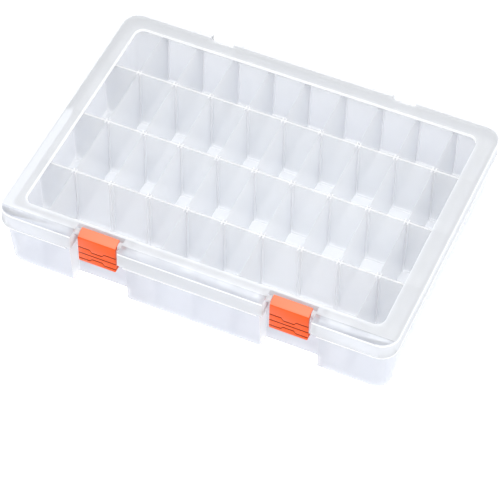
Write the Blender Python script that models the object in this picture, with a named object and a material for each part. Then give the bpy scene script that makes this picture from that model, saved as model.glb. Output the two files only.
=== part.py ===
"""A shallow divided box with a hinged lid and two snap latches.

Metres, +Z up. The origin is the middle of the tray's underside, the long side
runs along X, the latches face -Y and the hinge runs along the +Y side.
"""

import math

import bmesh
import bpy
from mathutils import Matrix, Vector

for existing in list(bpy.data.objects):
    bpy.data.objects.remove(existing, do_unlink=True)

# The closed box
lid_length = 0.2740
lid_width = 0.2004
closed_height = 0.0520

# The grid of cells: ten columns, four rows, row 1 at the back
column_count = 10
row_count = 4
end_column_extra = 0.0011
back_row_short = 0.0024

# Gaps between pieces
seat_gap = 0.0003
cut_overrun = 0.0020

# Lid
skirt_height = 0.0117
skirt_thickness = 0.0013
lid_corner_radius = 0.0120
lid_edge_radius = 0.0010
band_thickness = 0.0015
band_side = 0.0136
band_front = 0.0155
band_back = 0.0140
window_drop = 0.0012
window_thickness = 0.0012
window_corner_radius = 0.0060
window_step_lean = 0.0003
window_step_wall = 0.0012

# Tray
floor_thickness = 0.0016
outer_wall = 0.0017
inner_wall = 0.0012
inner_wall_draft = 0.0003
shell_draft = 0.0022
tray_side_gap = 0.0004
tray_front_set_back = 0.0044
tray_back_set_back = 0.0030
tray_corner_radius = 0.0100
tray_bottom_radius = 0.0025
cell_corner_radius = 0.0015
floor_chamfer = 0.0010
rim_thickness = 0.0019
rim_slope = 0.0008
rim_side_set_back = 0.0001
rim_front_set_back = 0.0001
rim_back_proud = 0.0003

# Slots and divider plates
divider_thickness = 0.0009
slot_side_gap = 0.0003
rib_width = 0.0008
rib_depth = 0.0015
divider_top_drop = 0.0002

# Recess in the tray's front wall behind each latch, and its catch
recess_half_width = 0.0202
recess_draft = 0.0007
recess_depth = 0.0114
catch_gap = 0.0004
catch_half_width = 0.0100
catch_rise = 0.0002
catch_nose = 0.0014
catch_ramp = 0.0034
root_overlap = 0.0010

# Latch
latch_width = 0.0264
latch_front_set_back = 0.0045
latch_top_drop = 0.0002
latch_height = 0.0256
latch_plate = 0.0018
latch_lean = 0.0004
flange_run = 0.0067
flange_drop = 0.0022
flange_back_height = 0.0014
fold_radius = 0.0022
lip_run = 0.0052
lip_height = 0.0020
lip_rise = 0.0014
lip_radius = 0.0006
foot_radius = 0.0014
inner_foot_radius = 0.0010
latch_corner_radius = 0.0024
pivot_in = 0.0021
pivot_down = 0.0030
boss_radius = 0.0020
pin_radius = 0.0012
pin_socket_depth = 0.0022
groove_height = 0.0007
groove_depth = 0.0005
groove_drops = (0.0094, 0.0147, 0.0198)
groove_bends = (-0.0021, 0.0, 0.0019)
groove_bend_outer_share = 0.38
groove_bend_inner_share = 0.28

# Notch in the lid round each latch
notch_side_gap = 0.0033
notch_back_gap = 0.0022
cheek_thickness = 0.0030
notch_wall = 0.0015
cheek_bottom_rise = 0.0004
cheek_root = 0.0006
cheek_boss_wall = 0.0009

# Hinge at the back
hinge_proud = 0.0002
hinge_rise = 0.0008
hinge_bar_radius = 0.0013
hinge_gap = 0.0003
knuckle_wall = 0.0014
knuckle_half_width = 0.0070
knuckle_mouth_start = 60.0
knuckle_mouth_end = 140.0
hinge_notch_half_width = 0.0085
hinge_notch_depth = 0.0035
ear_radius = 0.0026
ear_inner_width = 0.0060
ear_outer_width = 0.0110
ear_lap = 0.0005
ear_front = 0.0012
ear_top_drop = 0.0006
ear_top_chamfer = 0.0012

# Fineness of round shapes
corner_steps = 6
small_corner_steps = 2
edge_steps = 3
round_steps = 20
fillet_steps = 4

# Places worked out from the sizes
lid_half_length = lid_length / 2
lid_half_width = lid_width / 2
skirt_bottom = closed_height - skirt_height
tray_height = closed_height - window_drop - window_thickness - seat_gap
tray_half_length = lid_half_length - skirt_thickness - tray_side_gap
tray_front = -lid_half_width + tray_front_set_back
tray_back = lid_half_width - tray_back_set_back
inner_half_length = tray_half_length - outer_wall
front_inner = tray_front + outer_wall
back_inner = tray_back - outer_wall
rim_top = skirt_bottom - seat_gap
slot_width = divider_thickness + 2 * slot_side_gap
recess_face = tray_front + recess_depth

column_pitch = 2 * (inner_half_length - end_column_extra) / column_count
row_pitch = (back_inner - front_inner + inner_wall + back_row_short) / row_count
every_slot = tuple(range(1, column_count))
middle_slot = column_count // 2
front_row_slots = (1, middle_slot - 1, middle_slot, middle_slot + 1, column_count - 1)
clasp_offset = column_pitch * (column_count - middle_slot) / 2
hinge_offset = clasp_offset

latch_front = -lid_half_width + latch_front_set_back
latch_top = closed_height - latch_top_drop
latch_bottom = latch_top - latch_height
latch_back = latch_front + flange_run
latch_fold = latch_top - flange_drop
latch_foot = latch_front - latch_lean
lip_back = latch_foot + lip_run
catch_nose_face = lip_back + catch_gap
catch_bottom = latch_bottom + lip_height + lip_rise + catch_rise
pivot_y = latch_back - pivot_in
pivot_z = latch_top - pivot_down
notch_half_width = latch_width / 2 + notch_side_gap
notch_back = latch_back + notch_back_gap

hinge_y = lid_half_width + hinge_proud
hinge_z = skirt_bottom + hinge_rise
knuckle_bore = hinge_bar_radius + hinge_gap
knuckle_radius = knuckle_bore + knuckle_wall


def material(name, colour, roughness, transmission):
    """A plain plastic with the given colour, roughness and clearness."""
    made = bpy.data.materials.new(name)
    made.use_nodes = True
    shader = made.node_tree.nodes["Principled BSDF"]
    shader.inputs["Base Color"].default_value = (*colour, 1)
    shader.inputs["Roughness"].default_value = roughness
    shader.inputs["Metallic"].default_value = 0
    shader.inputs["Transmission Weight"].default_value = transmission
    made.diffuse_color = (*colour, 1)
    return made


clear_plastic = material("clear_plastic", (0.86, 0.89, 0.94), 0.18, 0.6)
divider_plastic = material("divider_plastic", (0.84, 0.87, 0.92), 0.15, 0.6)
lid_plastic = material("lid_plastic", (0.88, 0.90, 0.95), 0.30, 0.6)
latch_plastic = material("latch_plastic", (1.0, 0.19, 0.05), 0.35, 0.0)


def loft(name, loops):
    """A closed body through loops of equal length, with a cap on each end."""
    mesh = bpy.data.meshes.new(name)
    build = bmesh.new()
    rings = [[build.verts.new(point) for point in loop] for loop in loops]
    count = len(rings[0])
    for low, high in zip(rings, rings[1:]):
        for i in range(count):
            j = (i + 1) % count
            build.faces.new((low[i], low[j], high[j], high[i]))
    build.faces.new(list(reversed(rings[0])))
    build.faces.new(rings[-1])
    build.to_mesh(mesh)
    build.free()
    made = bpy.data.objects.new(name, mesh)
    bpy.context.scene.collection.objects.link(made)
    return made


def piece(made, finish, pivot=Vector((0, 0, 0))):
    """Gives a sub-part its material and puts its origin on its pivot."""
    made.data.materials.append(finish)
    made.data.transform(Matrix.Translation(-pivot))
    made.location = pivot
    return made


def helper(made):
    """Marks a body that only cuts or joins another."""
    made.hide_render = True
    made.display_type = 'WIRE'
    return made


def combine(target, others, operation):
    """Joins bodies to the target, or cuts them from it."""
    for other in others:
        change = target.modifiers.new(other.name, 'BOOLEAN')
        change.operation = operation
        change.solver = 'EXACT'
        change.object = helper(other)


def arc(centre_a, centre_b, radius, start, end, steps):
    """Points of an arc in a plane, angles in degrees, both ends included."""
    angles = [math.radians(start + (end - start) * i / steps) for i in range(steps + 1)]
    return [(centre_a + radius * math.cos(a), centre_b + radius * math.sin(a)) for a in angles]


def corner_arcs(x_half, y_low, y_high, front_radius, back_radius, front_steps, back_steps):
    """The four corner arcs of a rounded rectangle, front left first."""
    front_left = arc(-x_half + front_radius, y_low + front_radius, front_radius, 180, 270, front_steps)
    front_right = arc(x_half - front_radius, y_low + front_radius, front_radius, 270, 360, front_steps)
    back_right = arc(x_half - back_radius, y_high - back_radius, back_radius, 0, 90, back_steps)
    back_left = arc(-x_half + back_radius, y_high - back_radius, back_radius, 90, 180, back_steps)
    return front_left, front_right, back_right, back_left


def rounded_loop(x_half, y_low, y_high, radius, z):
    """A level rounded rectangle, counter-clockwise from above."""
    corners = corner_arcs(x_half, y_low, y_high, radius, radius, corner_steps, corner_steps)
    return [(x, y, z) for corner in corners for x, y in corner]


def side_prism(name, outline, x_low, x_high):
    """A body with a constant outline in Y and Z, between two places along X."""
    area = sum(a[0] * b[1] - b[0] * a[1] for a, b in zip(outline, outline[1:] + outline[:1]))
    turned = outline if area > 0 else list(reversed(outline))
    return loft(name, [[(x, y, z) for y, z in turned] for x in (x_low, x_high)])


def block(name, low, high):
    """A plain box between two corners."""
    outline = [(low[0], low[1]), (high[0], low[1]), (high[0], high[1]), (low[0], high[1])]
    return loft(name, [[(x, y, z) for x, y in outline] for z in (low[2], high[2])])


def filleted(corners):
    """An outline whose corners (a, b, radius) are rounded; a radius of 0 stays sharp."""
    outline = []
    for i, (a, b, radius) in enumerate(corners):
        if radius == 0:
            outline.append((a, b))
            continue
        here = Vector((a, b))
        before = (Vector(corners[i - 1][:2]) - here).normalized()
        after = (Vector(corners[(i + 1) % len(corners)][:2]) - here).normalized()
        half = before.angle(after) / 2
        centre = here + (before + after).normalized() * radius / math.sin(half)
        first = here + before * radius / math.tan(half) - centre
        last = here + after * radius / math.tan(half) - centre
        turn = first.angle_signed(last)
        for step in range(fillet_steps + 1):
            spoke = first.copy()
            spoke.rotate(Matrix.Rotation(-turn * step / fillet_steps, 2))
            outline.append(tuple(centre + spoke))
    return outline


def slot_x(slot):
    """Middle of a slot, counted from the left end."""
    return (slot - column_count / 2) * column_pitch


def row_slots(row):
    """Slots that hold a divider in a row."""
    return front_row_slots if row == row_count else every_slot


def wall_y(row):
    """Middle of the long inner wall in front of a row."""
    front_most = front_inner + row_pitch - inner_wall / 2
    return front_most + (row_count - 1 - row) * row_pitch


def row_span(row):
    """Front and back face of a row's space at the tray's top."""
    low = front_inner if row == row_count else wall_y(row) + inner_wall / 2
    high = back_inner if row == 1 else wall_y(row - 1) - inner_wall / 2
    return low, high


def depth_share(z):
    """0 at the tray's top, 1 at its floor."""
    return (tray_height - z) / (tray_height - floor_thickness)


def row_faces(row, z):
    """The front and back wall faces of a row at a height, with their draft."""
    low, high = row_span(row)
    front_draft = shell_draft if row == row_count else inner_wall_draft
    back_draft = shell_draft if row == 1 else inner_wall_draft
    return low + front_draft * depth_share(z), high - back_draft * depth_share(z)


def slot_points(x, face, foot_face, tip):
    """The pair of ribs either side of a slot, along a wall face."""
    inner = slot_width / 2
    outer = inner + rib_width
    return [(x - outer, foot_face), (x - outer, tip), (x - inner, tip), (x - inner, face),
            (x + inner, face), (x + inner, tip), (x + outer, tip), (x + outer, foot_face)]


def recess_points(x, foot_face, z, foot):
    """The step that a recess makes in the front row's space."""
    half = recess_half_width - recess_draft * depth_share(z) + outer_wall + foot
    step = recess_face + outer_wall + foot
    return [(x - half, foot_face), (x - half, step), (x + half, step), (x + half, foot_face)]


def cavity_loop(row, z, foot):
    """Outline of a row's space at a height, counter-clockwise from above."""
    face_low, face_high = row_faces(row, z)
    x_end = inner_half_length - shell_draft * depth_share(z) - foot
    shell_radius = tray_corner_radius - outer_wall
    is_front = row == row_count
    is_back = row == 1
    front_left, front_right, back_right, back_left = corner_arcs(
        x_end, face_low + foot, face_high - foot,
        shell_radius if is_front else cell_corner_radius,
        shell_radius if is_back else cell_corner_radius,
        corner_steps if is_front else small_corner_steps,
        corner_steps if is_back else small_corner_steps)
    front_features = {}
    for slot in row_slots(row):
        x = slot_x(slot)
        front_features[x] = slot_points(x, face_low, face_low + foot, face_low + rib_depth)
    if is_front:
        for x in (-clasp_offset, clasp_offset):
            front_features[x] = recess_points(x, face_low + foot, z, foot)
    front = [point for x in sorted(front_features) for point in front_features[x]]
    back = []
    for slot in every_slot:
        back += slot_points(slot_x(slot), face_high, face_high - foot, face_high - rib_depth)
    outline = front_left + front + front_right + back_right + back[::-1] + back_left
    return [(x, y, z) for x, y in outline]


def make_cavity(row):
    """The space of one row, ribs and floor chamfer included."""
    return loft(f"row{row}_space", [
        cavity_loop(row, floor_thickness, floor_chamfer),
        cavity_loop(row, floor_thickness + floor_chamfer, 0),
        cavity_loop(row, tray_height + cut_overrun, 0)])


def make_recess(side):
    """The finger room cut in the front wall behind one latch."""
    x = side * clasp_offset
    loops = []
    for z in (-cut_overrun, tray_height + cut_overrun):
        half = recess_half_width - recess_draft * depth_share(z)
        corners = [(x - half, tray_front * 2), (x + half, tray_front * 2),
                   (x + half, recess_face), (x - half, recess_face)]
        loops.append([(a, b, z) for a, b in corners])
    return loft("recess_space", loops)


def make_catch(side):
    """The small ledge in a recess that the latch's lip snaps under."""
    root = recess_face + root_overlap
    nose = catch_nose_face
    nose_top = catch_bottom + catch_nose
    outline = [(root, catch_bottom), (nose, catch_bottom), (nose, nose_top),
               (recess_face, nose_top + catch_ramp), (root, nose_top + catch_ramp)]
    x = side * clasp_offset
    return side_prism("catch_body", outline, x - catch_half_width, x + catch_half_width)


def make_knuckle(side):
    """The open clip on the tray's back wall that holds the lid's hinge bar."""
    full_turn = 360
    root = tray_back - root_overlap
    outline = [(root, hinge_z - knuckle_radius)]
    outline += arc(hinge_y, hinge_z, knuckle_radius, 270, full_turn + knuckle_mouth_start, round_steps)
    outline += arc(hinge_y, hinge_z, knuckle_bore,
                   full_turn + knuckle_mouth_start, knuckle_mouth_end, round_steps)
    mouth = arc(hinge_y, hinge_z, knuckle_radius, knuckle_mouth_end, knuckle_mouth_end, 1)[0]
    outline += [mouth, (root, mouth[1])]
    x = side * hinge_offset
    return side_prism("knuckle_body", outline, x - knuckle_half_width, x + knuckle_half_width)


def tray_shell():
    """The tray's outside with its rim, before the rows are cut."""
    loops = []
    lean_height = rim_top - rim_thickness
    for i in range(edge_steps + 1):
        angle = math.radians(90 * i / edge_steps)
        z = tray_bottom_radius * (1 - math.cos(angle))
        inset = tray_bottom_radius * (1 - math.sin(angle)) + shell_draft * (1 - z / lean_height)
        loops.append(rounded_loop(tray_half_length - inset, tray_front + inset,
                                  tray_back - inset, tray_corner_radius, z))
    wall = (tray_half_length, tray_front, tray_back, tray_corner_radius)
    rim = (lid_half_length - rim_side_set_back, -lid_half_width + rim_front_set_back,
           tray_back + rim_back_proud, lid_corner_radius)
    loops.append(rounded_loop(*wall, lean_height))
    loops.append(rounded_loop(*rim, lean_height + rim_slope))
    loops.append(rounded_loop(*rim, rim_top))
    loops.append(rounded_loop(*wall, rim_top))
    loops.append(rounded_loop(*wall, tray_height))
    return loft("tray", loops)


def make_tray():
    """The tray: four rows between three fixed long walls."""
    tray = piece(tray_shell(), clear_plastic)
    rows = [make_cavity(row) for row in range(1, row_count + 1)]
    combine(tray, rows + [make_recess(-1), make_recess(1)], 'DIFFERENCE')
    combine(tray, [make_catch(-1), make_catch(1), make_knuckle(-1), make_knuckle(1)], 'UNION')


def make_divider(row, slot):
    """One loose plate in its slot, narrower towards the floor as the row is."""
    half = divider_thickness / 2
    x = slot_x(slot)
    loops = []
    for z in (floor_thickness + seat_gap, tray_height - divider_top_drop):
        low, high = row_faces(row, z)
        low += seat_gap
        high -= seat_gap
        loops.append([(x - half, low, z), (x + half, low, z), (x + half, high, z), (x - half, high, z)])
    piece(loft(f"divider_row{row}_slot{slot}", loops), divider_plastic)


def lid_shell():
    """The lid's skirt, flat band and sunk window, as one unbroken wall."""
    def ring(inset, z):
        return rounded_loop(lid_half_length - inset, -lid_half_width + inset,
                            lid_half_width - inset, lid_corner_radius - inset, z)

    def window(grow, z):
        return rounded_loop(lid_half_length - band_side + grow, -lid_half_width + band_front - grow,
                            lid_half_width - band_back + grow, window_corner_radius + grow, z)

    window_top = closed_height - window_drop
    band_under = closed_height - band_thickness
    loops = [window(0, window_top - window_thickness),
             window(window_step_wall, band_under),
             ring(skirt_thickness, band_under),
             ring(skirt_thickness, skirt_bottom),
             ring(0, skirt_bottom)]
    for i in range(edge_steps + 1):
        angle = math.radians(90 * i / edge_steps)
        loops.append(ring(lid_edge_radius * (1 - math.cos(angle)),
                          closed_height - lid_edge_radius * (1 - math.sin(angle))))
    loops += [window(window_step_lean, closed_height), window(0, window_top)]
    return loft("lid", loops)


def make_ear(side, x_near, x_far):
    """A rib on the lid's back edge that carries one end of the hinge bar."""
    top = closed_height - ear_top_drop
    front = hinge_y - ear_front
    back = hinge_y + ear_radius
    dip = math.degrees(math.acos(ear_front / ear_radius))
    outline = [(front, top)]
    outline += arc(hinge_y, hinge_z, ear_radius, 180 + dip, 360, round_steps // 2)
    outline += [(back, top - ear_top_chamfer), (back - ear_top_chamfer, top)]
    low, high = sorted((side * x_near, side * x_far))
    return side_prism("ear_body", outline, low, high)


def make_rod(name, y, z, radius, x_low, x_high):
    """A round rod along X."""
    ring = arc(y, z, radius, 0, 360, round_steps)[:-1]
    return side_prism(name, ring, x_low, x_high)


def make_lid():
    """The lid with its latch notches, hinge ears and hinge bars."""
    lid = piece(lid_shell(), lid_plastic, Vector((0, hinge_y, hinge_z)))
    joins = []
    cuts = []
    late_joins = []
    late_cuts = []
    for side in (-1, 1):
        x = side * clasp_offset
        outer = notch_half_width + cheek_thickness
        joins.append(block("cheek_body",
                           (x - outer, -lid_half_width + cheek_root, skirt_bottom + cheek_bottom_rise),
                           (x + outer, notch_back + notch_wall, closed_height - band_thickness / 2)))
        cuts.append(block("latch_notch",
                          (x - notch_half_width, -lid_half_width - cut_overrun, skirt_bottom - cut_overrun),
                          (x + notch_half_width, notch_back, closed_height + cut_overrun)))
        reach = notch_half_width + pin_socket_depth
        socket_radius = pin_radius + seat_gap
        cheek_boss_radius = socket_radius + cheek_boss_wall
        for end in (-1, 1):
            low, high = sorted((x + end * (latch_width / 2 + seat_gap),
                                x + end * (notch_half_width + cheek_root)))
            late_joins.append(make_rod("cheek_boss", pivot_y, pivot_z, cheek_boss_radius, low, high))
        late_cuts.append(make_rod("pin_socket", pivot_y, pivot_z, socket_radius, x - reach, x + reach))
        hinge_x = side * hinge_offset
        cuts.append(block("hinge_notch",
                          (hinge_x - hinge_notch_half_width, lid_half_width - hinge_notch_depth,
                           skirt_bottom - cut_overrun),
                          (hinge_x + hinge_notch_half_width, lid_half_width + cut_overrun,
                           closed_height + cut_overrun)))
        near = hinge_notch_half_width - ear_lap
        late_joins.append(make_ear(side, hinge_offset - near - ear_inner_width, hinge_offset - near))
        late_joins.append(make_ear(side, hinge_offset + near, hinge_offset + near + ear_outer_width))
        bar_half = near + ear_inner_width / 2
        late_joins.append(make_rod("hinge_bar", hinge_y, hinge_z, hinge_bar_radius,
                                   hinge_x - bar_half, hinge_x + bar_half))
    combine(lid, joins, 'UNION')
    combine(lid, cuts, 'DIFFERENCE')
    combine(lid, late_joins, 'UNION')
    combine(lid, late_cuts, 'DIFFERENCE')


def latch_outline():
    """Side view of a latch: sloping flange, leaning plate, lip and pivot boss."""
    corners = [(latch_back, latch_top, 0),
               (latch_front, latch_fold, fold_radius),
               (latch_foot, latch_bottom, foot_radius),
               (lip_back, latch_bottom, lip_radius),
               (lip_back, latch_bottom + lip_height, lip_radius),
               (latch_foot + latch_plate, latch_bottom + lip_height + lip_rise, inner_foot_radius),
               (latch_front + latch_plate, pivot_z - boss_radius, 0)]
    boss = arc(pivot_y, pivot_z, boss_radius, 225, 360, round_steps // 2)
    return filleted(corners + [(y, z, 0) for y, z in boss]
                    + [(latch_back, latch_top - flange_back_height, 0)])


def plate_y(z):
    """Front face of a latch's leaning plate at a height."""
    return latch_front - latch_lean * (latch_fold - z) / (latch_fold - latch_bottom)


def make_groove(x, middle, bend):
    """A thin groove across a latch's face, with a raised or lowered middle."""
    half = latch_width / 2 + cut_overrun
    outer = latch_width * groove_bend_outer_share / 2
    inner = latch_width * groove_bend_inner_share / 2
    line = [(-half, 0), (-outer, 0), (-inner, bend), (inner, bend), (outer, 0), (half, 0)]
    lower = [(x + a, middle + b - groove_height / 2) for a, b in line]
    upper = [(x + a, middle + b + groove_height / 2) for a, b in reversed(line)]
    loops = []
    for depth in (groove_depth, -cut_overrun):
        loops.append([(a, plate_y(b) + depth, b) for a, b in lower + upper])
    return loft("groove_cut", loops)


def make_corner_cut(x, side):
    """What is cut from a lower corner of a latch to round it."""
    edge = x + side * latch_width / 2
    centre_x = edge - side * latch_corner_radius
    centre_z = latch_bottom + latch_corner_radius
    start, end = (270, 360) if side > 0 else (270, 180)
    outline = arc(centre_x, centre_z, latch_corner_radius, start, end, fillet_steps)
    outline += [(edge + side * cut_overrun, centre_z),
                (edge + side * cut_overrun, latch_bottom - cut_overrun),
                (centre_x, latch_bottom - cut_overrun)]
    if side > 0:
        outline.reverse()
    return loft("corner_cut", [[(a, y, b) for a, b in outline]
                               for y in (latch_back + flange_run, latch_front - flange_run)])


def make_latch(name, side):
    """One snap latch with its pivot pins, grooves and rounded foot."""
    x = side * clasp_offset
    half = latch_width / 2
    latch = piece(side_prism(name, latch_outline(), x - half, x + half),
                  latch_plastic, Vector((x, pivot_y, pivot_z)))
    pin_half = notch_half_width + pin_socket_depth - seat_gap
    pins = make_rod("pivot_pins", pivot_y, pivot_z, pin_radius, x - pin_half, x + pin_half)
    combine(latch, [pins], 'UNION')
    grooves = [make_groove(x, latch_fold - drop, bend) for drop, bend in zip(groove_drops, groove_bends)]
    combine(latch, grooves + [make_corner_cut(x, -1), make_corner_cut(x, 1)], 'DIFFERENCE')


make_tray()
for row in range(1, row_count + 1):
    for slot in row_slots(row):
        make_divider(row, slot)
make_lid()
make_latch("latch_left", -1)
make_latch("latch_right", 1)
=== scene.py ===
import math

import bmesh
import bpy
from mathutils import Matrix, Vector
from mathutils.bvhtree import BVHTree


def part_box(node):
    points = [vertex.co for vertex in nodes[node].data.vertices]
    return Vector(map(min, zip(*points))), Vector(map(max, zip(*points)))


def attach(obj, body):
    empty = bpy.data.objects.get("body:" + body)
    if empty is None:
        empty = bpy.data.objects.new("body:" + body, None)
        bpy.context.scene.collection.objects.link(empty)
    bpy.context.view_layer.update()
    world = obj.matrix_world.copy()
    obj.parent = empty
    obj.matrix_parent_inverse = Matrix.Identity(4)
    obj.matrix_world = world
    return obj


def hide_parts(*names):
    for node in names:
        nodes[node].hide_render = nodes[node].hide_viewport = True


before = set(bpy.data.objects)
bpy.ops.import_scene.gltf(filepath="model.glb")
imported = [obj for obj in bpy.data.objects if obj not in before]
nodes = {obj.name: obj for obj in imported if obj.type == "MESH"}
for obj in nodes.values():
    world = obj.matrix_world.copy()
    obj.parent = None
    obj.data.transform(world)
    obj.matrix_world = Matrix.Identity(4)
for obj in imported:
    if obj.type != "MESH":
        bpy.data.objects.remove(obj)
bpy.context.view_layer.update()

up = Vector((0, 0, 1))


# camera, at the photo's angle
camera = {
    "place": (0.39433, -0.92693, 1.18795),
    "azimuth": 23.125,
    "elevation": 50.399,
    "roll": -0.915,
    "focal": 168.765,
    "sensor": 36.0,
}


def makeCamera(values):
    azimuth = math.radians(values["azimuth"])
    elevation = math.radians(values["elevation"])
    roll = math.radians(values["roll"])
    level = math.cos(elevation)
    back = Vector((math.sin(azimuth) * level, -math.cos(azimuth) * level, math.sin(elevation)))
    levelRight = (-back).cross(up).normalized()
    levelUp = levelRight.cross(-back)
    right = levelRight * math.cos(roll) - levelUp * math.sin(roll)
    top = levelUp * math.cos(roll) + levelRight * math.sin(roll)
    made = bpy.data.objects.new("camera", bpy.data.cameras.new("camera"))
    bpy.context.scene.collection.objects.link(made)
    turn = Matrix((right, top, back)).transposed().to_4x4()
    made.matrix_world = Matrix.Translation(values["place"]) @ turn
    made.data.lens = values["focal"]
    made.data.sensor_width = values["sensor"]
    bpy.context.scene.camera = made


makeCamera(camera)
bpy.context.scene.view_settings.view_transform = "Standard"

# light crosses and bounces between many thin pale walls here
lightDepth = {"transparent_max_bounces": 48, "diffuse_bounces": 24, "max_bounces": 32}
for limit, count in lightDepth.items():
    setattr(bpy.context.scene.cycles, limit, count)


# white room: world, floor and two soft lamps
room = {
    "worldStrength": 0.96,
    "floorHalf": 4.0,
    "floorDrop": 0.0004,
    "floorColor": (0.95, 0.955, 0.965),
    "floorLift": 0.75,
    "keyPlace": (0.90, -0.55, 1.30),
    "keySize": 0.9,
    "keyWatts": 5.0,
    "topPlace": (0.05, 0.05, 1.60),
    "topSize": 1.2,
    "topWatts": 4.0,
}


# 1 for camera, glossy and transmission rays
def seenDirectly(tree):
    path = tree.nodes.new("ShaderNodeLightPath")
    total = path.outputs["Is Camera Ray"]
    for name in ("Is Glossy Ray", "Is Transmission Ray"):
        adder = tree.nodes.new("ShaderNodeMath")
        adder.operation = "MAXIMUM"
        tree.links.new(total, adder.inputs[0])
        tree.links.new(path.outputs[name], adder.inputs[1])
        total = adder.outputs[0]
    return total


def makeLamp(name, place, size, watts):
    lamp = bpy.data.lights.new(name, "AREA")
    lamp.size = size
    lamp.energy = watts
    made = bpy.data.objects.new(name, lamp)
    bpy.context.scene.collection.objects.link(made)
    made.location = place
    made.rotation_mode = "QUATERNION"
    made.rotation_quaternion = (-Vector(place)).to_track_quat("-Z", "Y")


def makeRoom(values):
    world = bpy.data.worlds.new("room")
    world.use_nodes = True
    bpy.context.scene.world = world
    tree = world.node_tree
    strength = tree.nodes.new("ShaderNodeMix")
    strength.inputs["A"].default_value = values["worldStrength"]
    strength.inputs["B"].default_value = 1.0
    tree.links.new(seenDirectly(tree), strength.inputs["Factor"])
    background = tree.nodes["Background"]
    background.inputs["Color"].default_value = (1, 1, 1, 1)
    tree.links.new(strength.outputs["Result"], background.inputs["Strength"])

    half = values["floorHalf"]
    drop = -values["floorDrop"]
    mesh = bpy.data.meshes.new("floor")
    mesh.from_pydata([(-half, -half, drop), (half, -half, drop), (half, half, drop), (-half, half, drop)],
                     [], [(0, 1, 2, 3)])
    floor = bpy.data.objects.new("floor", mesh)
    bpy.context.scene.collection.objects.link(floor)
    paint = bpy.data.materials.new("floorPaint")
    paint.use_nodes = True
    shader = paint.node_tree.nodes["Principled BSDF"]
    shader.inputs["Base Color"].default_value = (*values["floorColor"], 1)
    shader.inputs["Roughness"].default_value = 0.9
    shader.inputs["Specular IOR Level"].default_value = 0.1
    shader.inputs["Emission Color"].default_value = (1, 1, 1, 1)
    lift = paint.node_tree.nodes.new("ShaderNodeMath")
    lift.operation = "MULTIPLY"
    lift.inputs[1].default_value = values["floorLift"]
    paint.node_tree.links.new(seenDirectly(paint.node_tree), lift.inputs[0])
    paint.node_tree.links.new(lift.outputs[0], shader.inputs["Emission Strength"])
    mesh.materials.append(paint)
    makeLamp("keyLamp", values["keyPlace"], values["keySize"], values["keyWatts"])
    makeLamp("topLamp", values["topPlace"], values["topSize"], values["topWatts"])


makeRoom(room)
print("camera and room ready")


# plastics
plastics = {
    "trayPlastic": {"light": (0.985, 0.992, 1.0), "dark": (0.965, 0.978, 1.0), "alpha": 0.42,
                    "rough": (0.16, 0.26), "gloss": 0.2, "grain": 900, "bump": 0.05},
    # painted shade: a greyer copy of the tray plastic for the tray's outward faces
    "outerShadePlastic": {"light": (0.71, 0.74, 0.82), "dark": (0.68, 0.71, 0.80), "alpha": 0.62,
                     "rough": (0.18, 0.30), "gloss": 0.3, "grain": 900, "bump": 0.05},
    # painted highlight: a whiter, more opaque copy of the tray plastic for the slot ribs
    "ribHighlightPlastic": {"light": (0.995, 0.998, 1.0), "dark": (0.985, 0.99, 1.0), "alpha": 0.45,
                   "rough": (0.16, 0.26), "gloss": 0.2, "grain": 900, "bump": 0.05},
    "dividerPlastic": {"light": (0.985, 0.99, 1.0), "dark": (0.965, 0.975, 0.995), "alpha": 0.50,
                       "rough": (0.14, 0.24), "gloss": 0.2, "grain": 900, "bump": 0.05},
    # painted shade: the plate tops in a darker, nearly clear copy of the divider plastic
    "plateTopShadePlastic": {"light": (0.96, 0.97, 0.99), "dark": (0.94, 0.955, 0.985), "alpha": 0.14,
                        "rough": (0.20, 0.30), "gloss": 0.1, "grain": 900, "bump": 0.05},
    "frostedPlastic": {"light": (0.95, 0.972, 1.0), "dark": (0.915, 0.94, 0.99), "alpha": 0.60,
                       "rough": (0.34, 0.48), "gloss": 0.4, "grain": 2600, "bump": 0.16},
    # painted shade: a darker copy of the frosted plastic for the lid's front band
    "frontBandShadePlastic": {"light": (0.86, 0.885, 0.94), "dark": (0.82, 0.85, 0.92), "alpha": 0.34,
                         "rough": (0.30, 0.44), "gloss": 0.4, "grain": 2600, "bump": 0.12},
    "windowPlastic": {"light": (0.96, 0.975, 1.0), "dark": (0.93, 0.95, 0.99), "alpha": 0.07,
                      "rough": (0.08, 0.16), "gloss": 0.4, "grain": 500, "bump": 0.03},
    # painted highlight: a whiter, more opaque copy of the plastic for rims, edges and their roundings
    "edgeHighlightPlastic": {"light": (0.985, 0.99, 1.0), "dark": (0.96, 0.97, 0.99), "alpha": 0.90,
                    "rough": (0.20, 0.30), "gloss": 0.5, "grain": 1200, "bump": 0.04},
    "latchPlastic": {"light": (0.98, 0.118, 0.010), "dark": (0.93, 0.098, 0.007), "alpha": 1.0,
                     "rough": (0.34, 0.46), "gloss": 0.3, "grain": 2200, "bump": 0.12},
    # painted light: a lighter, salmon copy of the latch plastic for the up-facing flange, standing for top
    # light and sheen
    "flangeLitPlastic": {"light": (1.0, 0.285, 0.152), "dark": (0.97, 0.25, 0.13), "alpha": 1.0,
                      "rough": (0.34, 0.46), "gloss": 0.4, "grain": 2200, "bump": 0.12},
    # painted shade: a near-black red copy of the latch plastic for the groove faces
    "grooveShadePlastic": {"light": (0.24, 0.016, 0.005), "dark": (0.18, 0.012, 0.004), "alpha": 1.0,
                      "rough": (0.45, 0.55), "gloss": 0.3, "grain": 2200, "bump": 0.12},
}
flowStretch = (14.0, 60.0, 60.0)


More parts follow.
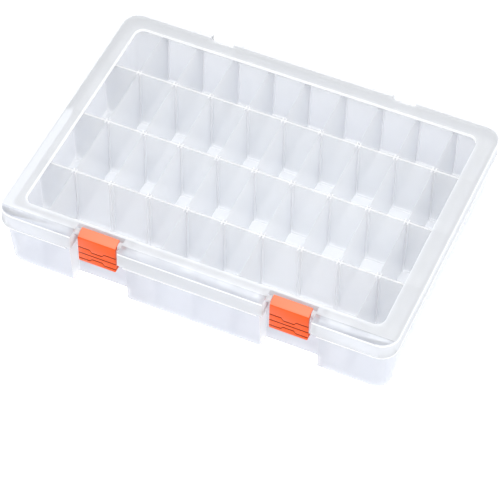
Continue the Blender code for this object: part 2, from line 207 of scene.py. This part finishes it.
# moulded plastic: faint flow clouds in the colour, fine grain in the surface
def makePlastic(name, look):
    made = bpy.data.materials.new(name)
    made.use_nodes = True
    tree = made.node_tree
    shader = tree.nodes["Principled BSDF"]
    place = tree.nodes.new("ShaderNodeTexCoord")
    flow = tree.nodes.new("ShaderNodeMapping")
    flow.inputs["Scale"].default_value = flowStretch
    tree.links.new(place.outputs["Object"], flow.inputs["Vector"])
    clouds = tree.nodes.new("ShaderNodeTexNoise")
    clouds.inputs["Scale"].default_value = 1.0
    clouds.inputs["Detail"].default_value = 4
    tree.links.new(flow.outputs["Vector"], clouds.inputs["Vector"])
    tint = tree.nodes.new("ShaderNodeMix")
    tint.data_type = "RGBA"
    tint.inputs["A"].default_value = (*look["dark"], 1)
    tint.inputs["B"].default_value = (*look["light"], 1)
    tree.links.new(clouds.outputs["Fac"], tint.inputs["Factor"])
    tree.links.new(tint.outputs["Result"], shader.inputs["Base Color"])
    grain = tree.nodes.new("ShaderNodeTexNoise")
    grain.inputs["Scale"].default_value = look["grain"]
    grain.inputs["Detail"].default_value = 3
    tree.links.new(place.outputs["Object"], grain.inputs["Vector"])
    rough = tree.nodes.new("ShaderNodeMapRange")
    rough.inputs["To Min"].default_value, rough.inputs["To Max"].default_value = look["rough"]
    tree.links.new(clouds.outputs["Fac"], rough.inputs["Value"])
    tree.links.new(rough.outputs["Result"], shader.inputs["Roughness"])
    bump = tree.nodes.new("ShaderNodeBump")
    bump.inputs["Strength"].default_value = look["bump"]
    bump.inputs["Distance"].default_value = 0.0002
    tree.links.new(grain.outputs["Fac"], bump.inputs["Height"])
    tree.links.new(bump.outputs["Normal"], shader.inputs["Normal"])
    shader.inputs["Alpha"].default_value = look["alpha"]
    shader.inputs["IOR"].default_value = 1.49
    shader.inputs["Specular IOR Level"].default_value = look["gloss"]
    return made


finishes = {name: makePlastic(name, look) for name, look in plastics.items()}


# shared mesh helpers
meshWork = {"weld": 0.00002, "flatAngle": 1.0, "bevelAngle": 32.0}


# the CAD solid as one welded mesh with whole flat faces
def mergedCopy(node, name):
    made = bpy.data.objects.new(name, nodes[node].data.copy())
    bpy.context.scene.collection.objects.link(made)
    made.data.materials.clear()
    build = bmesh.new()
    build.from_mesh(made.data)
    bmesh.ops.remove_doubles(build, verts=build.verts, dist=meshWork["weld"])
    bmesh.ops.dissolve_limit(build, angle_limit=math.radians(meshWork["flatAngle"]),
                             verts=build.verts, edges=build.edges)
    build.to_mesh(made.data)
    build.free()
    return made


# a small rounding on each sharp edge, in the material slot given; on the tray and lid that slot is the painted
# highlight edge material
def softenEdges(piece, width, edgeSlot, segments=2):
    piece.data.shade_smooth()
    bevel = piece.modifiers.new("softEdges", "BEVEL")
    bevel.width = width
    bevel.segments = segments
    bevel.limit_method = "ANGLE"
    bevel.angle_limit = math.radians(meshWork["bevelAngle"])
    bevel.material = edgeSlot
    bevel.harden_normals = True


# each face gets the material slot that the rule returns for its centre, normal and level width
def paintFaces(piece, rule):
    for face in piece.data.polygons:
        points = [piece.data.vertices[i].co for i in face.vertices]
        width = max(max(p[axis] for p in points) - min(p[axis] for p in points) for axis in (0, 1))
        face.material_index = rule(face.center, face.normal, width)


def dress(piece, body, replaced):
    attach(piece, body)
    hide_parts(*replaced)


# tray
tray = {"edge": 0.00022, "topBand": 0.0002, "rimHeight": 0.0021, "rimProud": 0.0005, "rimReach": 0.0040,
        "near": 0.0001, "faceOff": 0.0004, "ribWidth": 0.0035, "wallSide": 0.5}


# whether a point lies in the rim, past the tray's side and front walls
def standsOut(point, low, high):
    return abs(point.x) > high.x - tray["rimReach"] or point.y < low.y + tray["rimReach"]


# rim and wall tops get a painted highlight, outsides a painted shade (greyer), slot ribs a painted highlight
# brighter than the walls they stand on
def makeTray(values):
    piece = mergedCopy("tray", "trayShell")
    low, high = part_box("tray")
    rimTop = max(v.co.z for v in piece.data.vertices if abs(v.co.x) > high.x - values["rimProud"])
    for name in ("trayPlastic", "edgeHighlightPlastic", "outerShadePlastic", "ribHighlightPlastic"):
        piece.data.materials.append(finishes[name])
    shell = bmesh.new()
    shell.from_mesh(piece.data)
    surface = BVHTree.FromBMesh(shell)

    def rule(centre, normal, width):
        # painted highlight on the wall tops and on the rim
        if normal.z > values["wallSide"] and centre.z > high.z - values["topBand"]:
            return 1
        if rimTop - values["rimHeight"] < centre.z <= rimTop + values["near"] and standsOut(centre, low, high):
            return 1
        if abs(normal.z) > values["wallSide"]:
            return 0
        # faces that look out of the tray get the painted shade
        if surface.ray_cast(centre + normal * values["faceOff"], normal)[0] is None:
            return 2
        # narrow rib faces get the painted highlight
        return 3 if width < values["ribWidth"] else 0

    paintFaces(piece, rule)
    shell.free()
    softenEdges(piece, values["edge"], 1)
    dress(piece, "tray_body", ["tray"])


makeTray(tray)
print("tray done")


# divider plates, one tree for every row
plates = {"cornerRadius": 0.0012, "cornerPoints": 4, "edge": 0.00014, "body": "tray_body", "topSide": 0.5}


# a node whose inputs are values or other nodes' outputs
def linkNode(tree, kind, inputs):
    made = tree.nodes.new(kind)
    for key, value in inputs.items():
        if isinstance(value, bpy.types.NodeSocket):
            tree.links.new(value, made.inputs[key])
        else:
            made.inputs[key].default_value = value
    return made


# points in, a rounded plate standing on each point out
def plateTree():
    tree = bpy.data.node_groups.new("plateRow", "GeometryNodeTree")
    face = tree.interface
    face.new_socket("Geometry", in_out="INPUT", socket_type="NodeSocketGeometry")
    for name in ("Thickness", "Top", "Foot", "Front At Top", "Back At Top", "Front At Foot",
                 "Back At Foot", "Corner Radius"):
        face.new_socket(name, in_out="INPUT", socket_type="NodeSocketFloat")
    face.new_socket("Corner Points", in_out="INPUT", socket_type="NodeSocketInt")
    face.new_socket("Material", in_out="INPUT", socket_type="NodeSocketMaterial")
    face.new_socket("Geometry", in_out="OUTPUT", socket_type="NodeSocketGeometry")
    given = tree.nodes.new("NodeGroupInput").outputs
    corners = []
    for across, height in (("Front At Foot", "Foot"), ("Back At Foot", "Foot"),
                           ("Back At Top", "Top"), ("Front At Top", "Top")):
        corner = linkNode(tree, "ShaderNodeCombineXYZ", {"X": given[across], "Y": given[height]})
        corners.append(corner.outputs[0])
    outline = tree.nodes.new("GeometryNodeCurvePrimitiveQuadrilateral")
    outline.mode = "POINTS"
    for i, corner in enumerate(corners):
        tree.links.new(corner, outline.inputs["Point %d" % (i + 1)])
    rounded = tree.nodes.new("GeometryNodeFilletCurve")
    rounded.mode = "POLY"
    tree.links.new(outline.outputs["Curve"], rounded.inputs["Curve"])
    tree.links.new(given["Corner Radius"], rounded.inputs["Radius"])
    tree.links.new(given["Corner Points"], rounded.inputs["Count"])
    side = linkNode(tree, "GeometryNodeFillCurve", {"Curve": rounded.outputs[0]})
    side.mode = "NGONS"
    wall = linkNode(tree, "GeometryNodeExtrudeMesh",
                    {"Mesh": side.outputs[0], "Offset Scale": given["Thickness"], "Individual": False})
    other = linkNode(tree, "GeometryNodeFlipFaces", {"Mesh": side.outputs[0]})
    both = tree.nodes.new("GeometryNodeJoinGeometry")
    tree.links.new(wall.outputs["Mesh"], both.inputs[0])
    tree.links.new(other.outputs[0], both.inputs[0])
    closed = linkNode(tree, "GeometryNodeMergeByDistance", {"Geometry": both.outputs[0], "Distance": 0.00001})
    half = tree.nodes.new("ShaderNodeMath")
    half.operation = "MULTIPLY"
    tree.links.new(given["Thickness"], half.inputs[0])
    half.inputs[1].default_value = -0.5
    shift = linkNode(tree, "ShaderNodeCombineXYZ", {"X": half.outputs[0]})
    quarter = math.pi / 2
    stood = linkNode(tree, "GeometryNodeTransform",
                     {"Geometry": closed.outputs[0], "Translation": shift.outputs[0],
                      "Rotation": (quarter, 0, quarter)})
    points = linkNode(tree, "GeometryNodeMeshToPoints", {"Mesh": given["Geometry"]})
    copies = linkNode(tree, "GeometryNodeInstanceOnPoints",
                      {"Points": points.outputs[0], "Instance": stood.outputs[0]})
    real = linkNode(tree, "GeometryNodeRealizeInstances", {"Geometry": copies.outputs[0]})
    painted = linkNode(tree, "GeometryNodeSetMaterial",
                       {"Geometry": real.outputs[0], "Material": given["Material"]})
    result = tree.nodes.new("NodeGroupOutput")
    tree.links.new(painted.outputs[0], result.inputs[0])
    return tree


# runs a tree on a host object and keeps the result as a plain mesh
def bakeTree(host, tree, values, name):
    modifier = host.modifiers.new("shape", "NODES")
    modifier.node_group = tree
    for item in tree.interface.items_tree:
        if item.in_out == "INPUT" and item.name in values:
            modifier[item.identifier] = values[item.name]
    graph = bpy.context.evaluated_depsgraph_get()
    mesh = bpy.data.meshes.new_from_object(host.evaluated_get(graph), depsgraph=graph)
    bpy.data.objects.remove(host, do_unlink=True)
    made = bpy.data.objects.new(name, mesh)
    bpy.context.scene.collection.objects.link(made)
    return made


# lowest and highest Y of a node's corners at a height
def spanAt(node, height):
    ys = [v.co.y for v in nodes[node].data.vertices if abs(v.co.z - height) < 0.0001]
    return min(ys), max(ys)


def makePlates(values):
    tree = plateTree()
    for row in range(1, 5):
        names = sorted(n for n in nodes if n.startswith("divider_row%d_" % row))
        low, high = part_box(names[0])
        points = []
        for name in names:
            first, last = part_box(name)
            points.append(((first.x + last.x) / 2, 0, 0))
        mesh = bpy.data.meshes.new("platePoints")
        mesh.from_pydata(points, [], [])
        host = bpy.data.objects.new("platePoints", mesh)
        bpy.context.scene.collection.objects.link(host)
        frontTop, backTop = spanAt(names[0], high.z)
        frontFoot, backFoot = spanAt(names[0], low.z)
        piece = bakeTree(host, tree, {
            "Thickness": high.x - low.x, "Top": high.z, "Foot": low.z,
            "Front At Top": frontTop, "Back At Top": backTop,
            "Front At Foot": frontFoot, "Back At Foot": backFoot,
            "Corner Radius": values["cornerRadius"], "Corner Points": values["cornerPoints"],
            "Material": finishes["dividerPlastic"]}, "dividersRow%d" % row)
        piece.data.materials.clear()                # the host's empty slot goes
        piece.data.materials.append(finishes["dividerPlastic"])
        piece.data.materials.append(finishes["plateTopShadePlastic"])
        # up-facing plate tops get the painted shade
        paintFaces(piece, lambda centre, normal, width: 1 if normal.z > values["topSide"] else 0)
        softenEdges(piece, values["edge"], -1, 1)
        dress(piece, values["body"], names)


makePlates(plates)
print("divider plates done")


# lid
lid = {"edge": 0.00022, "flat": 0.9, "windowDrop": 0.0012, "windowSheet": 0.0012, "bandSide": 0.0150,
       "bandFront": 0.0160, "near": 0.0001, "stepFillet": 0.0006, "skirtBead": 0.0005, "beadSteps": 3,
       "cornerReach": 0.0030, "topTurn": 0.0012, "tilted": (0.05, 0.98), "stepInset": 0.0130,
       "skirtProud": 0.0006, "frontStretch": 0.010}


# rounds the edges that the rule picks and paints the rounding
def roundEdges(piece, rule, width, steps, paint):
    build = bmesh.new()
    build.from_mesh(piece.data)
    picked = [edge for edge in build.edges if rule(edge.verts[0].co, edge.verts[1].co)]
    bmesh.ops.bevel(build, geom=picked, offset=width, segments=steps, profile=0.5, affect="EDGES",
                    clamp_overlap=True, material=paint)
    build.to_mesh(piece.data)
    build.free()
    print("rounded %d edges of %s" % (len(picked), piece.name))


# cuts every face of a piece along a plane square to Y
def cutAcross(piece, y):
    build = bmesh.new()
    build.from_mesh(piece.data)
    bmesh.ops.bisect_plane(build, geom=[*build.verts, *build.edges, *build.faces], dist=lid["near"],
                           plane_co=(0, y, 0), plane_no=(0, 1, 0))
    build.to_mesh(piece.data)
    build.free()


def makeLid(values):
    piece = mergedCopy("lid", "lidShell")
    low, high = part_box("lid")
    near = values["near"]
    for name in ("frostedPlastic", "edgeHighlightPlastic", "windowPlastic", "frontBandShadePlastic"):
        piece.data.materials.append(finishes[name])
    top = high.z
    windowTop = top - values["windowDrop"]
    windowUnder = windowTop - values["windowSheet"]
    corners = [v.co for v in piece.data.vertices]
    window = [p for p in corners if abs(p.z - windowTop) < near and abs(p.x) < high.x - values["stepInset"]]
    left = min(p.x for p in window)
    back = max(p.y for p in window)
    front = min(p.y for p in window)
    skirtFoot = min(p.z for p in corners if abs(p.x) > high.x - values["skirtProud"])

    def overWindow(p, spare):
        return left - spare < p.x < spare - left and front - spare < p.y < back + spare

    cutAcross(piece, front)

    # the step's rounding gets a painted highlight at the back and at the left only
    def shines(p):
        return p.x < left + values["cornerReach"] or p.y > back - values["cornerReach"]

    def rule(centre, normal, width):
        inside = overWindow(centre, values["cornerReach"])
        if abs(normal.z) > values["flat"]:
            sheet = min(abs(centre.z - windowTop), abs(centre.z - windowUnder)) < near
            if inside and sheet:
                return 2
            # the wide front band before the window gets the painted shade
            return 3 if centre.y < front and width > values["frontStretch"] else 0
        # step faces: painted highlight at the back and left, frosted elsewhere
        if windowTop - near < centre.z < top and inside:
            return 1 if shines(centre) else 0
        # the tilted rounding along the lid's top edge gets the painted highlight
        least, most = values["tilted"]
        return 1 if least < normal.z < most and centre.z > top - values["topTurn"] else 0

    paintFaces(piece, rule)

    def stepEdge(a, b):
        level = all(abs(p.z - windowTop) < near for p in (a, b)) or all(abs(p.z - top) < near for p in (a, b))
        return level and all(overWindow(p, values["cornerReach"]) for p in (a, b))

    def skirtEdge(a, b):
        return all(abs(p.z - skirtFoot) < near and (abs(p.x) > high.x - values["skirtProud"]
                   or p.y < low.y + values["skirtProud"]) for p in (a, b))

    # the step's roundings: painted highlight at the back and left, frosted at the front and right
    roundEdges(piece, lambda a, b: stepEdge(a, b) and shines((a + b) / 2), values["stepFillet"],
               values["beadSteps"], 1)
    roundEdges(piece, lambda a, b: stepEdge(a, b) and not shines((a + b) / 2), values["stepFillet"],
               values["beadSteps"], 0)
    # the skirt's bottom edge is rounded and painted as a highlight line
    roundEdges(piece, skirtEdge, values["skirtBead"], values["beadSteps"], 1)
    softenEdges(piece, values["edge"], 1)
    dress(piece, "lid_body", ["lid"])


makeLid(lid)
print("lid done")


# latches
latch = {"edge": 0.00016, "lean": 0.0004, "foldDown": 0.0022, "footHeight": 0.0022,
         "grooveNear": 0.0001, "grooveFar": 0.0009, "flangeTilt": 0.6}


def makeLatch(side, values):
    node = "latch_" + side
    piece = mergedCopy(node, "latch%sShell" % side.capitalize())
    low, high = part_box(node)
    fold = high.z - values["foldDown"]
    for name in ("latchPlastic", "grooveShadePlastic", "flangeLitPlastic"):
        piece.data.materials.append(finishes[name])

    def rule(centre, normal, width):
        front = low.y + values["lean"] * (centre.z - low.z) / (fold - low.z)
        depth = centre.y - front
        inPlate = low.z + values["footHeight"] < centre.z < fold - values["footHeight"]
        # groove faces get the painted shade
        if inPlate and abs(normal.x) < 0.9 and values["grooveNear"] < depth < values["grooveFar"]:
            return 1
        # up-facing flange faces get the painted light
        if normal.z > values["flangeTilt"] and centre.z > fold - values["footHeight"]:
            return 2
        return 0

    paintFaces(piece, rule)
    softenEdges(piece, values["edge"], -1)
    dress(piece, node + "_body", [node])


for side in ("left", "right"):
    makeLatch(side, latch)
print("latches done")
